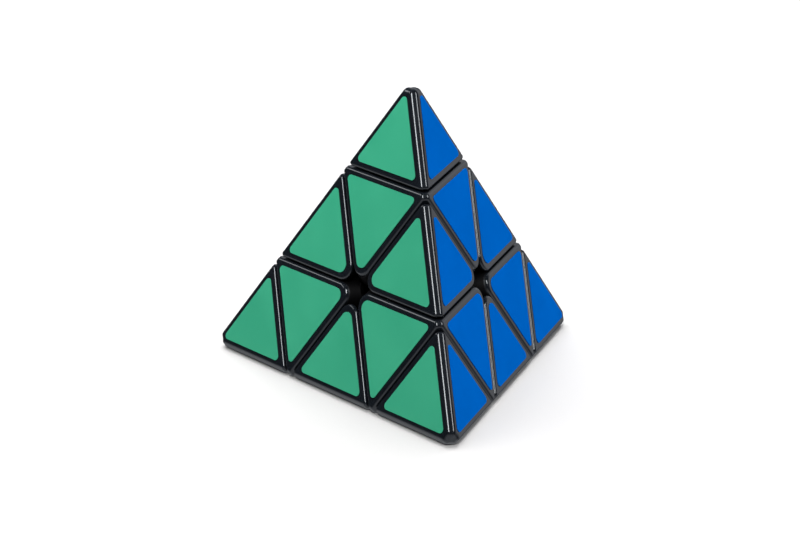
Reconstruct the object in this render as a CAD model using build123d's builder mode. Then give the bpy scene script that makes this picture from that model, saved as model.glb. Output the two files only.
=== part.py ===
"""Pyramid twisty puzzle: four turning tips, four axial pieces and six edge pieces on a core.

Units are millimetres, +Z runs up through the top tip, and the front corner points towards -Y.
The origin is the middle of the tetrahedron, where the four turning axes meet.
"""

import os
from math import cos, radians, sin, sqrt, tan

from build123d import *

# ---- driving dimensions -------------------------------------------------------------------

edge_length = 98.0            # sharp edge of the tetrahedron, before its edges are bevelled

piece_gap = 0.4               # space between neighbouring outer pieces
bevel_depth = 1.35            # how far the bevel cuts in from each sharp outer edge
bevel_round = 1.2             # rounding on both sides of the outer bevel
vertex_cut = 4.7              # how much of each sharp corner of the tetrahedron is cut off
vertex_round = 1.8            # rounding all round that cut
tip_rim_round = 0.7           # rounding of the acute rims, on tips and edge pieces
axial_rim_round = 1.0         # rounding of the obtuse rims, on axial pieces
star_corner_round = 3.6       # big rounding of the corners that meet in the middle of a face

outer_wall = 1.8              # wall under the outer faces
side_wall = 1.5               # wall along the cut faces
plate_thick = 1.8             # top wall of an axial piece, and base plate of a tip

sticker_thick = 0.15
sticker_corner = 1.0          # usual corner radius of a sticker
sticker_star_corner = 2.0     # corner radius next to the middle of a face
sticker_outer_inset = 2.95    # from the sharp outer edge to the sticker, on tips and edge pieces
sticker_rim_inset = 2.2       # from the cut to the sticker, on tips and edge pieces
sticker_axial_inset = 1.65    # from the cut to the sticker, on axial pieces

core_ball_r = 7.15
core_post_r = 2.4             # posts the axial hubs turn on
core_post_end = 13.7          # distance of the post's end from the origin
flange_inner_r = 7.45         # spherical flange of a hub, between core and edge feet
flange_outer_r = 10.45
flange_half_angle = 53.6
foot_inner_r = 10.75          # spherical feet of the edge pieces
foot_outer_r = 14.7
foot_reach = 5.3              # a foot stays this far beyond the origin along both its axes
shell_inner_r = 15.0          # spherical underside of the outer pieces

hub_stem_r = 6.0
hub_tube_r = 5.0
hub_bore_r = core_post_r + 0.06
hub_floor_bottom = 14.0
hub_floor_top = 15.2
spring_chamber_r = 3.9

foot_peg_r = 1.6
foot_peg_end = 20.0
peg_wall_end = 18.0           # the edge shell is solid up to this distance around the peg
# a foot's pad stays this far back from the edge piece's sides, and starts this deep in the foot
pad_margin = 0.3

stem_r = 3.0                  # snap stem under a tip
stem_fit = 0.06               # running fit of the stem in the axial piece
stem_bead_r = 3.4
stem_bead_height = 1.6
stem_bead_play = 0.25         # how far a tip can lift before its bead catches the lip
stem_end = 28.3
stem_slot = 0.8

screw_hole_r = 1.25
screw_shank_r = 1.25
screw_clear_r = 1.6
screw_head_r = 2.9
screw_head_bottom = 22.0
screw_head_top = 24.0
screw_end = 5.0
washer_thick = 0.5
spring_wire_r = 0.3
spring_mean_r = 2.3
spring_turns = 5

# ---- the tetrahedron ----------------------------------------------------------------------

height = edge_length * sqrt(2 / 3)
vertex_distance = height * 3 / 4      # from the origin to a sharp corner
face_distance = height / 4            # from the origin to a face
edge_distance = vertex_distance / sqrt(3)
layer_cut = height / 12               # cut under each turning layer
tip_cut = height * 5 / 12             # cut under each tip
face_row = edge_length * sqrt(3) / 6  # height of one row of triangles on a face
half_gap = piece_gap / 2
spread = sqrt(8) / 3                  # sideways part of the lower corners' directions

axis_of = {"top": Vector(0, 0, 1)}
for corner, turn in (("right", 30), ("left", 150), ("front", 270)):
    axis_of[corner] = Vector(spread * cos(radians(turn)), spread * sin(radians(turn)), -1 / 3)

lower_corners = ("right", "left", "front")
corners = ("top",) + lower_corners
edge_pairs = (
    ("top", "right"),
    ("top", "left"),
    ("top", "front"),
    ("right", "left"),
    ("right", "front"),
    ("left", "front"),
)
# colour of the face opposite each corner
colour_opposite = {"right": "green", "left": "blue", "front": "red", "top": "yellow"}


def placing(corner, toward):
    """Location that carries a piece modelled for (top, front) to the pair (corner, toward)."""
    up = axis_of[corner]
    other = axis_of[toward]
    back = (up * up.dot(other) - other).normalized()
    return Plane(origin=(0, 0, 0), x_dir=back.cross(up), z_dir=up).location


def placed_at(corner):
    """Location that carries a piece modelled for the top corner to another corner."""
    if corner == "top":
        return Location()
    return placing(corner, "top")


def edge_direction(first, second):
    """Direction from the origin to the middle of the outer edge between two corners."""
    return (axis_of[first] + axis_of[second]).normalized()


def below(direction, distance):
    """Half space that reaches up to a distance along a direction."""
    return (direction, distance)


def above(direction, distance):
    """Half space that starts at a distance along a direction."""
    return (direction * -1, -distance)


def trimmed_block(half_spaces):
    """Convex block left when a big box is cut by every half space in turn."""
    with BuildPart() as block:
        Box(2 * height, 2 * height, 2 * height)
        for direction, distance in half_spaces:
            cut = Plane(origin=direction * distance, z_dir=direction)
            split(bisect_by=cut, keep=Keep.BOTTOM)
    return block.part


def distance_along(shape, direction):
    """How far the middle of an edge or face lies along a direction."""
    return shape.center().dot(direction)


def edges_on(part, direction, distance):
    """Edges of a part whose middle lies on the plane at a distance along a direction."""
    return [e for e in part.edges() if abs(distance_along(e, direction) - distance) < 0.02]


# ---- tips: a hollow cap and a base plate with the snap stem ---------------------------------

three_faces = [below(axis_of[c] * -1, face_distance) for c in lower_corners]
three_bevels = [below(edge_direction("top", c), edge_distance - bevel_depth) for c in lower_corners]
up = axis_of["top"]

tip_block = trimmed_block(
    three_faces
    + three_bevels
    + [below(up, vertex_distance - vertex_cut), above(up, tip_cut + half_gap)]
)
cap_room = trimmed_block(
    [below(axis_of[c] * -1, face_distance - outer_wall) for c in lower_corners]
    + [above(up, tip_cut), below(up, vertex_distance - vertex_cut - 2 * outer_wall)]
)
plate_block = trimmed_block(
    [below(axis_of[c] * -1, face_distance - outer_wall) for c in lower_corners]
    + [above(up, tip_cut + half_gap), below(up, tip_cut + half_gap + plate_thick)]
)

with BuildPart() as tip_cap:
    add(tip_block)
    base_rim = tip_cap.faces().sort_by(Axis.Z)[0].edges()
    top_rim = tip_cap.faces().sort_by(Axis.Z)[-1].edges()
    slanted = [e for e in tip_cap.edges() if e not in base_rim and e not in top_rim]
    fillet(slanted, radius=bevel_round)
    fillet(tip_cap.faces().sort_by(Axis.Z)[-1].edges(), radius=vertex_round)
    fillet(tip_cap.faces().sort_by(Axis.Z)[0].edges(), radius=tip_rim_round)
    add(cap_room, mode=Mode.SUBTRACT)

with BuildPart() as tip_base:
    add(plate_block)
    with Locations((0, 0, stem_end)):
        Cylinder(
            radius=stem_r,
            height=tip_cut + half_gap + plate_thick / 2 - stem_end,
            align=(Align.CENTER, Align.CENTER, Align.MIN),
        )
    # snap bead near the stem's end, slotted crosswise so that it can flex
    with Locations((0, 0, tip_cut - half_gap - plate_thick - stem_bead_play)):
        Cylinder(
            radius=stem_bead_r,
            height=stem_bead_height,
            align=(Align.CENTER, Align.CENTER, Align.MAX),
        )
    chamfer(tip_base.edges().filter_by(GeomType.CIRCLE).group_by(SortBy.RADIUS)[-1], length=0.3)
    with Locations((0, 0, stem_end)):
        Box(8, stem_slot, 4.0, align=(Align.CENTER, Align.CENTER, Align.MIN), mode=Mode.SUBTRACT)
        Box(stem_slot, 8, 4.0, align=(Align.CENTER, Align.CENTER, Align.MIN), mode=Mode.SUBTRACT)

# ---- axial pieces: a hollow eight-sided shell around a turning hub --------------------------

axial_block = trimmed_block(
    three_faces
    + three_bevels
    + [below(up, tip_cut - half_gap)]
    + [below(axis_of[c], layer_cut - half_gap) for c in lower_corners]
)
axial_room = trimmed_block(
    [below(axis_of[c] * -1, face_distance - outer_wall) for c in lower_corners]
    + [below(axis_of[c], layer_cut - half_gap - side_wall) for c in lower_corners]
    + [below(up, tip_cut - half_gap - plate_thick), above(up, layer_cut + half_gap + side_wall)]
)

with BuildPart() as axial_hollow:
    add(axial_room)
    Sphere(radius=shell_inner_r + side_wall, mode=Mode.SUBTRACT)

with BuildPart() as axial_shell:
    add(axial_block)
    # the three corners that reach the middle of a face
    fillet([e for e in axial_shell.edges() if e.center().Z < 0], radius=star_corner_round)
    split(bisect_by=Plane.XY.offset(layer_cut + half_gap), keep=Keep.TOP)
    rim = []
    for corner in lower_corners:
        rim += edges_on(axial_shell, axis_of[corner] * -1, face_distance)
        outward = edge_direction("top", corner)
        rim += [e for e in edges_on(axial_shell, outward, edge_distance - bevel_depth) if e not in rim]
    fillet(rim, radius=axial_rim_round)
    Sphere(radius=shell_inner_r, mode=Mode.SUBTRACT)
    add(axial_hollow.part, mode=Mode.SUBTRACT)
    # seat for the hub's stem, and the lip that the tip's snap bead hooks under
    Cylinder(radius=hub_stem_r, height=4 * layer_cut, mode=Mode.SUBTRACT)
    with Locations((0, 0, layer_cut)):
        Cylinder(
            radius=stem_r + stem_fit,
            height=tip_cut,
            align=(Align.CENTER, Align.CENTER, Align.MIN),
            mode=Mode.SUBTRACT,
        )

cone_height = 12.0
with BuildPart() as axial_hub:
    # flange: a spherical bowl cut off by a cone around the axis
    Cone(
        bottom_radius=0,
        top_radius=cone_height * tan(radians(flange_half_angle)),
        height=cone_height,
        align=(Align.CENTER, Align.CENTER, Align.MIN),
    )
    Sphere(radius=flange_outer_r, mode=Mode.INTERSECT)
    with Locations((0, 0, flange_inner_r)):
        Cylinder(
            radius=hub_stem_r,
            height=shell_inner_r + 0.8 - flange_inner_r,
            align=(Align.CENTER, Align.CENTER, Align.MIN),
        )
        Cylinder(
            radius=hub_tube_r,
            height=tip_cut - half_gap - plate_thick - flange_inner_r,
            align=(Align.CENTER, Align.CENTER, Align.MIN),
        )
    Sphere(radius=flange_inner_r, mode=Mode.SUBTRACT)
    # bore for the core's post, screw hole through the floor, spring chamber above it
    Cylinder(radius=hub_bore_r, height=2 * hub_floor_bottom, mode=Mode.SUBTRACT)
    Cylinder(radius=screw_clear_r, height=2 * tip_cut, mode=Mode.SUBTRACT)
    with Locations((0, 0, hub_floor_top)):
        Cylinder(
            radius=spring_chamber_r,
            height=tip_cut,
            align=(Align.CENTER, Align.CENTER, Align.MIN),
            mode=Mode.SUBTRACT,
        )

# ---- edge pieces: a hollow four-sided shell with a foot pegged into it ----------------------

near = axis_of["top"]
far = axis_of["front"]
outward = edge_direction("top", "front")

edge_block = trimmed_block(
    [
        below(axis_of["right"] * -1, face_distance),
        below(axis_of["left"] * -1, face_distance),
        below(outward, edge_distance - bevel_depth),
        above(near, layer_cut + half_gap),
        above(far, layer_cut + half_gap),
    ]
)
edge_room = trimmed_block(
    [
        below(axis_of["right"] * -1, face_distance - outer_wall),
        below(axis_of["left"] * -1, face_distance - outer_wall),
        below(outward, edge_distance - bevel_depth - outer_wall),
        above(near, layer_cut + half_gap + side_wall),
        above(far, layer_cut + half_gap + side_wall),
        above(outward, peg_wall_end),
    ]
)

with BuildPart() as edge_shell:
    add(edge_block)
    inner_ridge = [e for e in edge_shell.edges() if distance_along(e, outward) < shell_inner_r]
    fillet(inner_ridge, radius=star_corner_round)
    bevel_face = edge_shell.faces().sort_by(Axis((0, 0, 0), outward))[-1]
    fillet([e for e in bevel_face.edges() if e.length > 10], radius=bevel_round)
    rim = edges_on(edge_shell, axis_of["right"] * -1, face_distance)
    rim += edges_on(edge_shell, axis_of["left"] * -1, face_distance)
    rim = [e for e in rim if distance_along(e, outward) < edge_distance - 2 * bevel_depth]
    for side in (near, far):
        for edge in edges_on(edge_shell, side, layer_cut + half_gap):
            if distance_along(edge, outward) > edge_distance - 2 * bevel_depth:
                rim.append(edge)
    fillet(rim, radius=tip_rim_round)
    Sphere(radius=shell_inner_r, mode=Mode.SUBTRACT)
    add(edge_room, mode=Mode.SUBTRACT)
    with BuildSketch(Plane(origin=(0, 0, 0), z_dir=outward)):
        Circle(foot_peg_r)
    extrude(amount=foot_peg_end, mode=Mode.SUBTRACT)


foot_block = trimmed_block([above(near, foot_reach), above(far, foot_reach)])
pad_block = trimmed_block(
    [
        above(near, layer_cut + half_gap + pad_margin),
        above(far, layer_cut + half_gap + pad_margin),
    ]
)

with BuildPart() as foot_pad:
    add(pad_block)
    Sphere(radius=shell_inner_r, mode=Mode.INTERSECT)
    Sphere(radius=foot_outer_r - pad_margin, mode=Mode.SUBTRACT)

with BuildPart() as edge_foot:
    # spherical segment that hooks under both neighbouring axial pieces
    add(foot_block)
    Sphere(radius=foot_outer_r, mode=Mode.INTERSECT)
    Sphere(radius=foot_inner_r, mode=Mode.SUBTRACT)
    # pad that carries the shell, and the peg pressed into it
    add(foot_pad.part)
    with BuildSketch(Plane(origin=outward * (foot_outer_r - pad_margin), z_dir=outward)):
        Circle(foot_peg_r)
    extrude(amount=foot_peg_end - foot_outer_r + pad_margin)

# ---- core: a ball with four posts, and what holds the hubs on them --------------------------

with BuildPart() as core_spider:
    Sphere(radius=core_ball_r)
    for corner in corners:
        with BuildSketch(Plane(origin=(0, 0, 0), z_dir=axis_of[corner])):
            Circle(core_post_r)
        extrude(amount=core_post_end)
    for corner in corners:
        with BuildSketch(Plane(origin=axis_of[corner] * (screw_end - 0.4), z_dir=axis_of[corner])):
            Circle(screw_hole_r)
        extrude(amount=core_post_end, mode=Mode.SUBTRACT)

with BuildPart() as axis_screw:
    with Locations((0, 0, screw_end)):
        Cylinder(
            radius=screw_shank_r,
            height=screw_head_bottom - screw_end,
            align=(Align.CENTER, Align.CENTER, Align.MIN),
        )
    with Locations((0, 0, screw_head_bottom)):
        Cylinder(
            radius=screw_head_r,
            height=screw_head_top - screw_head_bottom,
            align=(Align.CENTER, Align.CENTER, Align.MIN),
        )
    fillet(axis_screw.faces().sort_by(Axis.Z)[-1].edges(), radius=0.8)
    with Locations((0, 0, screw_head_top)):
        Box(3.4, 0.7, 2.0, mode=Mode.SUBTRACT)
        Box(0.7, 3.4, 2.0, mode=Mode.SUBTRACT)

with BuildPart() as spring_washer:
    with BuildSketch(Plane.XY.offset(screw_head_bottom - washer_thick)):
        Circle(screw_head_r)
        Circle(screw_shank_r + 0.1, mode=Mode.SUBTRACT)
    extrude(amount=washer_thick)

spring_bottom = hub_floor_top + 0.1
spring_top = screw_head_bottom - washer_thick
with BuildPart() as axis_spring:
    with BuildLine(Plane.XY.offset(spring_bottom)) as coil:
        Helix(
            pitch=(spring_top - spring_bottom) / spring_turns,
            height=spring_top - spring_bottom,
            radius=spring_mean_r,
        )
    with BuildSketch(Plane(origin=coil.line @ 0, z_dir=coil.line % 0)):
        Circle(spring_wire_r)
    sweep(path=coil.line, is_frenet=True)
    # both ends of the coil are ground flat
    split(bisect_by=Plane.XY.offset(spring_bottom), keep=Keep.TOP)
    split(bisect_by=Plane.XY.offset(spring_top), keep=Keep.BOTTOM)

# ---- placing and writing the pieces --------------------------------------------------------

os.makedirs("parts", exist_ok=True)


def write_pieces(name, shapes):
    """Write one node: its separate solids side by side in one file."""
    node = Compound(label=name, children=shapes)
    export_step(node, f"parts/{name}.step")


def moved_copy(part, location):
    """Copy of a modelled piece at its place on the puzzle."""
    with BuildPart() as copy:
        with Locations(location):
            add(part)
    return copy.part


core_spider.part.label = "core_spider"
export_step(core_spider.part, "parts/core_spider.step")

for name, piece in (
    ("axis_screws", axis_screw),
    ("spring_washers", spring_washer),
    ("axis_springs", axis_spring),
):
    with BuildPart() as set_of_four:
        with Locations([placed_at(corner) for corner in corners]):
            add(piece.part)
    set_of_four.part.label = name
    export_step(set_of_four.part, f"parts/{name}.step")

for corner in corners:
    place = placed_at(corner)
    write_pieces(
        f"tip_{corner}",
        [moved_copy(tip_cap.part, place), moved_copy(tip_base.part, place)],
    )
    write_pieces(
        f"axial_{corner}",
        [moved_copy(axial_shell.part, place), moved_copy(axial_hub.part, place)],
    )

for first, second in edge_pairs:
    place = placing(first, second)
    with BuildPart() as shell_copy:
        with Locations(place):
            add(edge_shell.part)
    shell_copy.part.label = f"edge_{first}_{second}"
    export_step(shell_copy.part, f"parts/edge_{first}_{second}.step")
    with BuildPart() as foot_copy:
        with Locations(place):
            add(edge_foot.part)
    foot_copy.part.label = f"edge_foot_{first}_{second}"
    export_step(foot_copy.part, f"parts/edge_foot_{first}_{second}.step")

# ---- stickers -------------------------------------------------------------------------------


def face_plane(opposite, toward):
    """Plane of the face opposite a corner, centred on the face, with +Y towards another corner."""
    normal = axis_of[opposite] * -1
    pointing = axis_of[toward] - normal * axis_of[toward].dot(normal)
    return Plane(origin=normal * face_distance, x_dir=pointing.cross(normal), z_dir=normal)


def write_sticker(name, plane, point, base, point_round):
    """Thin triangle with one corner at height point and its opposite side at height base."""
    half_width = abs(point - base) / sqrt(3)
    with BuildPart() as sticker:
        with BuildSketch(plane) as outline:
            with BuildLine():
                Polyline((0, point), (half_width, base), (-half_width, base), close=True)
            make_face()
            ends = outline.vertices().sort_by(Axis.Y)
            if point < base:
                ends.reverse()
            fillet(ends[-1], radius=point_round)
            ends = [v for v in outline.vertices() if abs(v.Y - base) < 0.01]
            fillet(ends, radius=sticker_corner)
        extrude(amount=sticker_thick)
    sticker.part.label = name
    export_step(sticker.part, f"parts/{name}.step")


for opposite, colour in colour_opposite.items():
    around = [corner for corner in corners if corner != opposite]
    for toward in around:
        plane = face_plane(opposite, toward)
        write_sticker(
            f"sticker_tip_{toward}_{colour}",
            plane,
            2 * face_row - 2 * sticker_outer_inset,
            face_row + sticker_rim_inset,
            sticker_corner,
        )
        write_sticker(
            f"sticker_axial_{toward}_{colour}",
            plane,
            2 * sticker_axial_inset,
            face_row - sticker_axial_inset,
            sticker_star_corner,
        )
        first, second = [corner for corner in around if corner != toward]
        write_sticker(
            f"sticker_edge_{first}_{second}_{colour}",
            plane,
            -2 * sticker_rim_inset,
            sticker_outer_inset - face_row,
            sticker_star_corner,
        )
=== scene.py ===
"""Looks for the pyramid twisty puzzle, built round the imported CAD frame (metres)."""

import math

import bpy
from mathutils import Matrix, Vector


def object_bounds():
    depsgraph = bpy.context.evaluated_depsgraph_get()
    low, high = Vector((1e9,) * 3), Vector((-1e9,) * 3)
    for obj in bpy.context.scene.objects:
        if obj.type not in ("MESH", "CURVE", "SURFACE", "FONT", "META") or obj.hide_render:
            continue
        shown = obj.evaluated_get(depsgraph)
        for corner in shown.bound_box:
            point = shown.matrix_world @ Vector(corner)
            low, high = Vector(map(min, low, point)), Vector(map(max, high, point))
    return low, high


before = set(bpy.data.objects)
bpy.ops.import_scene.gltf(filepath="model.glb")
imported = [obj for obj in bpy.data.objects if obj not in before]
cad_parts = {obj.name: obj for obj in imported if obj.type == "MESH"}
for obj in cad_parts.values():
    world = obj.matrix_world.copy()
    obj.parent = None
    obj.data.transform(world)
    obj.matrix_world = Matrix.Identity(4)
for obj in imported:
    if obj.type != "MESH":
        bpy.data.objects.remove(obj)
cad_low, cad_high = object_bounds()

MM = 0.001

NOISE_LOW, NOISE_HIGH = 0.3, 0.7  # nearly all of a noise texture's values lie between these

# ---------------------------------------------------------------- materials


def new_material(name):
    """A new node material with one shader: the material, its node tree and the shader."""
    material = bpy.data.materials.new(name)
    material.use_nodes = True
    tree = material.node_tree
    tree.nodes.clear()
    output = tree.nodes.new("ShaderNodeOutputMaterial")
    shader = tree.nodes.new("ShaderNodeBsdfPrincipled")
    tree.links.new(shader.outputs["BSDF"], output.inputs["Surface"])
    return material, tree, shader


def noise(tree, coordinates, scale, detail=2.0, roughness=0.5):
    """Noise value at a scale given in features per metre."""
    node = tree.nodes.new("ShaderNodeTexNoise")
    node.inputs["Scale"].default_value = scale
    node.inputs["Detail"].default_value = detail
    node.inputs["Roughness"].default_value = roughness
    tree.links.new(coordinates, node.inputs["Vector"])
    return node.outputs["Fac"]


def ramp(tree, value, low, high, out_low, out_high):
    """`value` from low..high mapped to out_low..out_high, clamped."""
    node = tree.nodes.new("ShaderNodeMapRange")
    node.inputs["From Min"].default_value = low
    node.inputs["From Max"].default_value = high
    node.inputs["To Min"].default_value = out_low
    node.inputs["To Max"].default_value = out_high
    tree.links.new(value, node.inputs["Value"])
    return node.outputs["Result"]


def spread_noise(tree, value, out_low, out_high):
    """A noise value spread over out_low..out_high."""
    return ramp(tree, value, NOISE_LOW, NOISE_HIGH, out_low, out_high)


def mix_colour(tree, factor, first, second):
    """`first` to `second`, which are colours or sockets, by `factor`, a socket or a number."""
    node = tree.nodes.new("ShaderNodeMix")
    node.data_type = "RGBA"
    for value, socket in ((factor, node.inputs[0]), (first, node.inputs[6]), (second, node.inputs[7])):
        if isinstance(value, bpy.types.NodeSocket):
            tree.links.new(value, socket)
        elif isinstance(value, (int, float)):
            socket.default_value = value
        else:
            socket.default_value = (*value, 1.0)
    return node.outputs[2]


def combine(tree, operation, first, second):
    """Two sockets put through one operation of a math node."""
    node = tree.nodes.new("ShaderNodeMath")
    node.operation = operation
    tree.links.new(first, node.inputs[0])
    tree.links.new(second, node.inputs[1])
    return node.outputs[0]


def bump(tree, shader, height, distance):
    """`height`, from 0 to 1, as a relief that is `distance` deep."""
    node = tree.nodes.new("ShaderNodeBump")
    node.inputs["Strength"].default_value = 1.0
    node.inputs["Distance"].default_value = distance
    tree.links.new(height, node.inputs["Height"])
    tree.links.new(node.outputs["Normal"], shader.inputs["Normal"])


def object_coordinates(tree):
    """Coordinates that travel with the piece. At rest they are those of the frame."""
    return tree.nodes.new("ShaderNodeTexCoord").outputs["Object"]


# Where the polish ends and painted shade begins inside the puzzle: depths below the outer faces
# at which the polish starts to fade and is gone, near the middle of a face and further out, where the
# edges are bevelled.
MATT_SHADE_MIDDLE = (0.6 * MM, 1.1 * MM)
MATT_SHADE_CORNER = (1.6 * MM, 2.3 * MM)
MIDDLE_RADIUS = (27.0 * MM, 31.0 * MM)  # how far from the frame's origin the middle reaches
# painted shade: the walls inside the puzzle get this near-black colour and a specular tint dimmed to
# 0.12, standing in for the shade deep in the star holes and gaps
INSIDE_SHADE_COLOUR = (0.0008, 0.0008, 0.001)
MATT_ROUGHER = 0.5
INSIDE_SHADE_TINT = (0.12, 0.12, 0.12)
POLISH_SHEEN = (0.92, 0.96, 1.0)
FACE_DISTANCE = 20.004 * MM  # from the frame's origin to each of the four outer faces
OUTWARD = (  # the way each outer face looks
    (0.0, 0.0, -1.0),
    (-0.8165, -0.4714, 0.3333),
    (0.8165, -0.4714, 0.3333),
    (0.0, 0.9428, 0.3333),
)


def face_reach(tree, where):
    """How far a point lies out towards the outer face nearest to it, from the frame's origin."""
    reaches = []
    for normal in OUTWARD:
        dot = tree.nodes.new("ShaderNodeVectorMath")
        dot.operation = "DOT_PRODUCT"
        dot.inputs[1].default_value = normal
        tree.links.new(where, dot.inputs[0])
        reaches.append(dot.outputs["Value"])
    furthest = reaches[0]
    for reach in reaches[1:]:
        furthest = combine(tree, "MAXIMUM", furthest, reach)
    return furthest


def inside_mask(tree, where):
    """1 on the walls inside the puzzle, where the matt finish and the painted shade go; 0 on its
    polished outside and on its rounded rims.
    """
    reach = face_reach(tree, where)
    middle, corner = (
        ramp(tree, reach, FACE_DISTANCE - gone, FACE_DISTANCE - start, 1.0, 0.0)
        for start, gone in (MATT_SHADE_MIDDLE, MATT_SHADE_CORNER)
    )
    length = tree.nodes.new("ShaderNodeVectorMath")
    length.operation = "LENGTH"
    tree.links.new(where, length.inputs[0])
    near_middle = ramp(tree, length.outputs["Value"], *MIDDLE_RADIUS, 1.0, 0.0)
    return combine(tree, "MAXIMUM", corner, combine(tree, "MULTIPLY", middle, near_middle))


PLASTIC_CLOUD = 130.0  # features per metre
PLASTIC_GRAIN = 2600.0
PLASTIC_PEEL = 900.0
PLASTIC_SPECK = 0.004  # how much the grain changes the roughness, either way
PEEL_DEPTH = 0.0008 * MM


def moulded_plastic(name, dark, light, rough_low, rough_high, specular=0.5, matt_shaded_inside=False):
    """Glossy moulded plastic: faint mottling, handling haze and a shallow orange peel.

    The last argument leaves the walls inside the puzzle unpolished, and paints shade on them as a
    darker colour and a dimmer specular tint than on its outside.
    """
    material, tree, shader = new_material(name)
    where = object_coordinates(tree)
    shader.inputs["Specular IOR Level"].default_value = specular
    cloud = noise(tree, where, PLASTIC_CLOUD, detail=3.0, roughness=0.55)
    grain = noise(tree, where, PLASTIC_GRAIN, detail=2.0, roughness=0.6)
    colour = mix_colour(tree, spread_noise(tree, cloud, 0.0, 1.0), dark, light)
    haze = spread_noise(tree, cloud, rough_low, rough_high)
    speck = spread_noise(tree, grain, -PLASTIC_SPECK, PLASTIC_SPECK)
    roughness = combine(tree, "ADD", haze, speck)
    if matt_shaded_inside:
        # painted shade: the inside walls are darkened and their specular tint dimmed; only the added
        # roughness is a real finish
        inside = inside_mask(tree, where)
        colour = mix_colour(tree, inside, colour, INSIDE_SHADE_COLOUR)
        rougher = ramp(tree, inside, 0.0, 1.0, 0.0, MATT_ROUGHER)
        roughness = combine(tree, "ADD", roughness, rougher)
        specular_tint_and_painted_shade = mix_colour(tree, inside, POLISH_SHEEN, INSIDE_SHADE_TINT)
        tree.links.new(specular_tint_and_painted_shade, shader.inputs["Specular Tint"])
    tree.links.new(colour, shader.inputs["Base Color"])
    tree.links.new(roughness, shader.inputs["Roughness"])
    peel = noise(tree, where, PLASTIC_PEEL, detail=2.0, roughness=0.5)
    bump(tree, shader, peel, PEEL_DEPTH)
    return material


VINYL_CLOUD = 90.0
VINYL_GRAIN = 1500.0
VINYL_DEEP, VINYL_PALE = 0.96, 1.04  # how the mottling changes the colour
VINYL_LIFTED = 1.12  # the paler colour that the fine speckle leans towards
VINYL_SPECKLE = 0.10  # how far the speckle leans towards it
VINYL_SPECKLE_RANGE = (0.35, 0.65)  # noise values between which it fades in
VINYL_PEBBLE_DEPTH = 0.004 * MM


def scaled(colour, factor):
    """A colour made brighter or darker, none of its parts over 1."""
    return tuple(min(1.0, factor * part) for part in colour)


def vinyl_film(name, colour, specular=0.3, rough_low=0.38, rough_high=0.5):
    """Satin coloured film: faint print mottling and a fine pebbled surface."""
    material, tree, shader = new_material(name)
    where = object_coordinates(tree)
    shader.inputs["Specular IOR Level"].default_value = specular
    cloud = noise(tree, where, VINYL_CLOUD, detail=3.0, roughness=0.5)
    grain = noise(tree, where, VINYL_GRAIN, detail=3.0, roughness=0.6)
    shade = spread_noise(tree, cloud, 0.0, 1.0)
    base = mix_colour(tree, shade, scaled(colour, VINYL_DEEP), scaled(colour, VINYL_PALE))
    speckle = ramp(tree, grain, *VINYL_SPECKLE_RANGE, 0.0, VINYL_SPECKLE)
    speckled = mix_colour(tree, speckle, base, scaled(colour, VINYL_LIFTED))
    tree.links.new(speckled, shader.inputs["Base Color"])
    tree.links.new(spread_noise(tree, cloud, rough_low, rough_high), shader.inputs["Roughness"])
    bump(tree, shader, grain, VINYL_PEBBLE_DEPTH)
    return material


STEEL_STAIN = 300.0
STEEL_GRAIN = 3200.0
STEEL_DULL = 0.8  # brightness of the stains
STEEL_GRAIN_DEPTH = 0.004 * MM


def machined_steel(name, colour, rough_low, rough_high):
    """Plain steel with faint stains and a fine grain."""
    material, tree, shader = new_material(name)
    where = object_coordinates(tree)
    shader.inputs["Metallic"].default_value = 1.0
    grain = noise(tree, where, STEEL_GRAIN, detail=3.0, roughness=0.6)
    stain = noise(tree, where, STEEL_STAIN, detail=3.0, roughness=0.55)
    stained = mix_colour(tree, stain, scaled(colour, STEEL_DULL), colour)
    tree.links.new(stained, shader.inputs["Base Color"])
    tree.links.new(spread_noise(tree, grain, rough_low, rough_high), shader.inputs["Roughness"])
    bump(tree, shader, grain, STEEL_GRAIN_DEPTH)
    return material


MATERIALS = {
    "black_plastic": moulded_plastic(
        "black_plastic",
        dark=(0.0028, 0.0037, 0.0052),
        light=(0.0042, 0.0053, 0.0070),
        rough_low=0.12,
        rough_high=0.165,
        specular=0.45,
        # leaves the walls inside the puzzle matt and paints shade on them
        matt_shaded_inside=True,
    ),
    "core_plastic": moulded_plastic(
        "core_plastic",
        dark=(0.02, 0.02, 0.022),
        light=(0.03, 0.03, 0.033),
        rough_low=0.3,
        rough_high=0.42,
    ),
    "screw_steel": machined_steel("screw_steel", (0.62, 0.62, 0.63), rough_low=0.21, rough_high=0.38),
    "spring_steel": machined_steel("spring_steel", (0.5, 0.5, 0.52), rough_low=0.27, rough_high=0.44),
    "green_sticker": vinyl_film("green_sticker", (0.0185, 0.2135, 0.1185), specular=0.4),
    "blue_sticker": vinyl_film(
        "blue_sticker", (0.0, 0.0727, 0.322), specular=0.0, rough_low=0.45, rough_high=0.55
    ),
    "red_sticker": vinyl_film("red_sticker", (0.36, 0.008, 0.012)),
    "yellow_sticker": vinyl_film("yellow_sticker", (0.68, 0.455, 0.009)),
}

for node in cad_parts.values():
    for slot in node.material_slots:
        slot.material = MATERIALS[slot.material.name.split(".")[0]]

# ---------------------------------------------------------------- floor, light, camera

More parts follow.
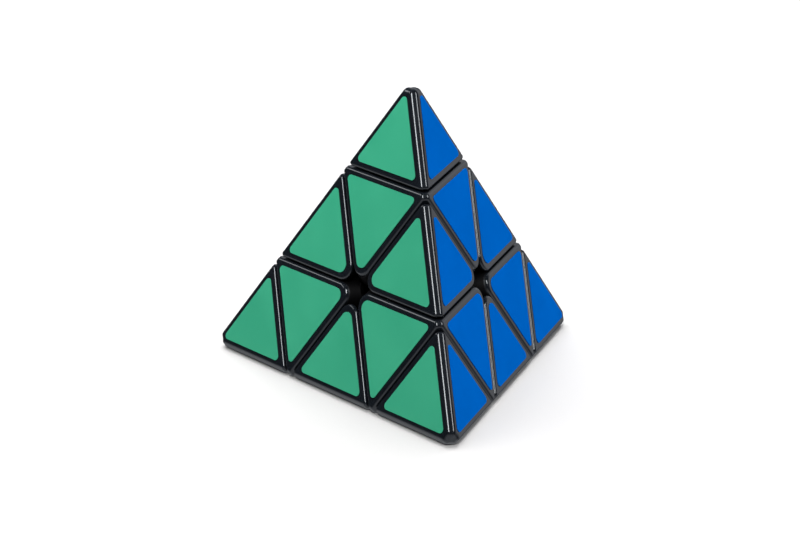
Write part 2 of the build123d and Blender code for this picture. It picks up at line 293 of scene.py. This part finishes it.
FLOOR_SIZE = 4.0
FLOOR_GAP = 0.01 * MM  # below the lowest point of the object
FLOOR_COLOUR = (0.318, 0.315, 0.314)
FLOOR_ROUGHNESS = 0.9
FLOOR_SPECULAR = 0.1
floor_mesh = bpy.data.meshes.new("floor")
half = FLOOR_SIZE / 2
floor_mesh.from_pydata(
    [(-half, -half, 0.0), (half, -half, 0.0), (half, half, 0.0), (-half, half, 0.0)],
    [],
    [(0, 1, 2, 3)],
)
floor = bpy.data.objects.new("floor", floor_mesh)
floor.location = (0.0, 0.0, cad_low.z - FLOOR_GAP)
bpy.context.scene.collection.objects.link(floor)
floor_material, _, floor_shader = new_material("floor_paper")
floor_shader.inputs["Base Color"].default_value = (*FLOOR_COLOUR, 1.0)
floor_shader.inputs["Roughness"].default_value = FLOOR_ROUGHNESS
floor_shader.inputs["Specular IOR Level"].default_value = FLOOR_SPECULAR
floor_mesh.materials.append(floor_material)
floor.visible_glossy = False  # the plastic mirrors the studio painted on the world instead


def direction(azimuth, elevation):
    """Unit vector towards an azimuth (0 is -Y, 90 is +X) and elevation in degrees."""
    turn, rise = math.radians(azimuth), math.radians(elevation)
    return Vector((
        math.sin(turn) * math.cos(rise),
        -math.cos(turn) * math.cos(rise),
        math.sin(rise),
    ))


def area_light(name, azimuth, elevation, distance, width, height, power, mirrored=True):
    """A soft panel that faces the frame's origin. `mirrored` says whether gloss shows it."""
    data = bpy.data.lights.new(name, "AREA")
    data.shape = "RECTANGLE"
    data.size, data.size_y = width, height
    data.energy = power
    lamp = bpy.data.objects.new(name, data)
    toward_lamp = direction(azimuth, elevation)
    lamp.location = toward_lamp * distance
    lamp.rotation_mode = "QUATERNION"
    lamp.rotation_quaternion = toward_lamp.to_track_quat("Z", "Y")
    lamp.visible_glossy = mirrored
    bpy.context.scene.collection.objects.link(lamp)


area_light(
    "softbox_left", azimuth=-20.0, elevation=50.0, distance=3.0, width=0.90, height=1.5, power=95.0
)
area_light(
    "softbox_right", azimuth=46.0, elevation=48.0, distance=3.0, width=0.72, height=1.5, power=46.0
)
area_light(
    "softbox_side", azimuth=-114.0, elevation=42.0, distance=3.0, width=2.0, height=0.76, power=22.0
)
# lights the floor from above and behind, so that a soft shadow lies in front of the object
area_light(
    "ceiling",
    azimuth=172.0,
    elevation=60.0,
    distance=1.4,
    width=1.4,
    height=1.4,
    power=58.0,
    mirrored=False,
)
# a small lamp close by that lifts the uppermost green sticker
area_light(
    "top_accent",
    azimuth=-100.0,
    elevation=60.0,
    distance=0.16,
    width=0.08,
    height=0.08,
    power=0.11,
    mirrored=False,
)

world = bpy.data.worlds.new("studio")
bpy.context.scene.world = world
world.use_nodes = True
world_tree = world.node_tree
world_tree.nodes.clear()
background = world_tree.nodes.new("ShaderNodeBackground")
world_output = world_tree.nodes.new("ShaderNodeOutputWorld")
world_tree.links.new(background.outputs["Background"], world_output.inputs["Surface"])
look = world_tree.nodes.new("ShaderNodeTexCoord").outputs["Generated"]


def glow(azimuth, elevation, edge, core, amount):
    """`amount` within `core` degrees of a direction, falling to 0 at `edge` degrees."""
    dot = world_tree.nodes.new("ShaderNodeVectorMath")
    dot.operation = "DOT_PRODUCT"
    dot.inputs[1].default_value = direction(azimuth, elevation)
    world_tree.links.new(look, dot.inputs[0])
    edge_cosine, core_cosine = math.cos(math.radians(edge)), math.cos(math.radians(core))
    return ramp(world_tree, dot.outputs["Value"], edge_cosine, core_cosine, 0.0, amount)


# What the plastic mirrors: a dark room above a pale table that is brightest close in front,
# and a white sweep low on the right that carries on up behind.
ROOM_COLOUR = (0.044, 0.052, 0.064)
WHITE_COLOUR = (0.93, 0.95, 1.0)
TABLE_FAR, TABLE_NEAR = -0.24, -0.80  # downward slopes where the table starts and is in full
TABLE_BRIGHTNESS = 0.4
GLOWS = (
    dict(azimuth=0.0, elevation=-60.0, edge=70.0, core=30.0, amount=1.25),
    dict(azimuth=-100.0, elevation=-42.0, edge=38.0, core=15.0, amount=1.0),
    dict(azimuth=-155.0, elevation=-14.0, edge=30.0, core=8.0, amount=0.16),
    dict(azimuth=112.0, elevation=0.0, edge=34.0, core=14.0, amount=0.62),
    dict(azimuth=148.0, elevation=24.0, edge=34.0, core=15.0, amount=0.6),
)

slope = world_tree.nodes.new("ShaderNodeSeparateXYZ")
world_tree.links.new(look, slope.inputs[0])
brightness = ramp(world_tree, slope.outputs["Z"], TABLE_FAR, TABLE_NEAR, 0.0, TABLE_BRIGHTNESS)
for place in GLOWS:
    brightness = combine(world_tree, "ADD", brightness, glow(**place))
world_tree.links.new(
    mix_colour(world_tree, brightness, ROOM_COLOUR, WHITE_COLOUR), background.inputs["Color"]
)
background.inputs["Strength"].default_value = 1.0

# Camera: where the view was taken from, as azimuth, elevation and distance from the frame's
# origin, and the small offset of the point it aims at, in the camera's own plane.
CAMERA_AZIMUTH = -10.581
CAMERA_ELEVATION = 20.0445
CAMERA_DISTANCE = 0.82005
CAMERA_LENS = 144.456
CAMERA_SENSOR = 36.0
CAMERA_CLIP = (0.05, 20.0)
AIM_RIGHT = -3.0495 * MM
AIM_UP = 7.5621 * MM

toward_camera = direction(CAMERA_AZIMUTH, CAMERA_ELEVATION)
right = (-toward_camera).cross(Vector((0.0, 0.0, 1.0))).normalized()
up = right.cross(-toward_camera)
target = right * AIM_RIGHT + up * AIM_UP
camera_data = bpy.data.cameras.new("camera")
camera_data.lens = CAMERA_LENS
camera_data.sensor_width = CAMERA_SENSOR
camera_data.clip_start, camera_data.clip_end = CAMERA_CLIP
camera = bpy.data.objects.new("camera", camera_data)
camera.location = toward_camera * CAMERA_DISTANCE
camera.rotation_mode = "QUATERNION"
camera.rotation_quaternion = (camera.location - target).to_track_quat("Z", "Y")
bpy.context.scene.collection.objects.link(camera)
bpy.context.scene.camera = camera

bpy.context.scene.view_settings.view_transform = "Standard"
